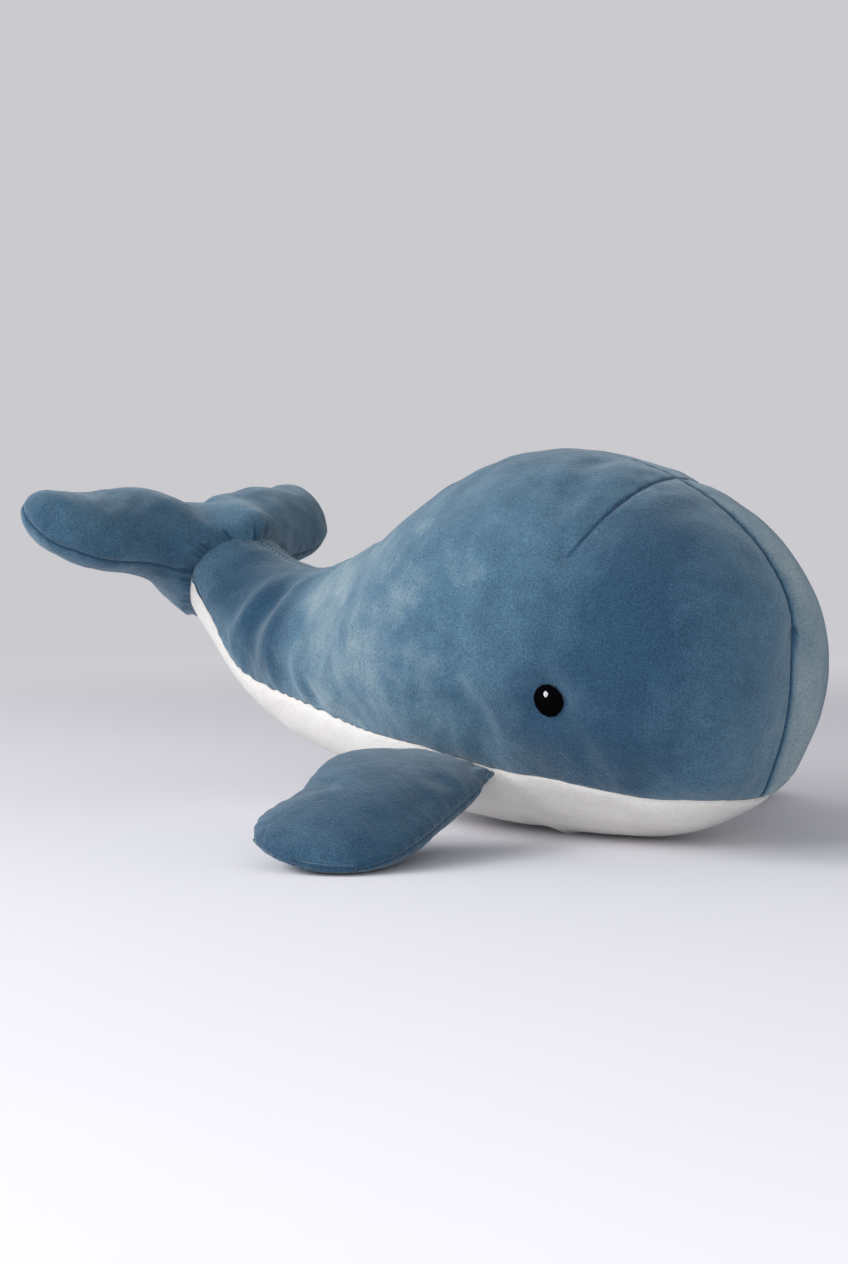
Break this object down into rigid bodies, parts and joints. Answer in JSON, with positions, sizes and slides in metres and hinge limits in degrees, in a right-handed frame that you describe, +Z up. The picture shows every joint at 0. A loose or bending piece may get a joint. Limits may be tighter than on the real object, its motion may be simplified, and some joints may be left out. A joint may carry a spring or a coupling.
{
  "type": "plush whale",
  "caption": "Stuffed toy whale in short-pile plush with a white belly, two flippers that flap and an upturned fluke that bends on its stem.",
  "frame": {"origin": "centre of the flat under the belly, where the toy rests, below the largest section of the head", "axes": "+X to the nose, +Y to the whale's left, +Z up"},
  "size_m": [0.3901, 0.3706, 0.18],
  "materials": {
    "blue_plush": "short-pile plush, matt with a soft nap",
    "white_plush": "short-pile plush, matt with a soft nap",
    "stuffing": "polyester fibre filling, hidden",
    "black_embroidery": "dense satin stitch",
    "white_embroidery": "dense satin stitch"
  },
  "bodies": {
    "body": {"side_panel_right": "blue_plush", "side_panel_left": "blue_plush", "belly_panel": "white_plush", "body_filling": "stuffing", "eye_right": "black_embroidery", "eye_left": "black_embroidery", "eye_highlight_right": "white_embroidery", "eye_highlight_left": "white_embroidery"},
    "fluke": {"fluke_top_panel": "blue_plush", "fluke_bottom_panel": "blue_plush", "fluke_filling": "stuffing"},
    "flipper_right": {"flipper_right_top_panel": "blue_plush", "flipper_right_bottom_panel": "blue_plush", "flipper_right_filling": "stuffing"},
    "flipper_left": {"flipper_left_top_panel": "blue_plush", "flipper_left_bottom_panel": "blue_plush", "flipper_left_filling": "stuffing"}
  },
  "joints": [
    {"name": "fluke_bend", "type": "hinge", "parent": "body", "child": "fluke", "pos_m": [-0.2109, 0, 0.10636], "axis": [0, 1, 0], "range_deg": [-25, 25], "stiffness_Nm_per_rad": 0.2, "springref_deg": 1.83},
    {"name": "flipper_right_flap", "type": "hinge", "parent": "body", "child": "flipper_right", "pos_m": [-0.02042, -0.06978, 0.03751], "axis": [-0.9657, -0.1762, 0.1905], "range_deg": [-40, 45], "stiffness_Nm_per_rad": 0.1, "springref_deg": 2.29},
    {"name": "flipper_left_flap", "type": "hinge", "parent": "body", "child": "flipper_left", "pos_m": [-0.02042, 0.06978, 0.03751], "axis": [0.9657, -0.1762, -0.1905], "range_deg": [-40, 45], "stiffness_Nm_per_rad": 0.1, "springref_deg": 2.29}
  ]
}
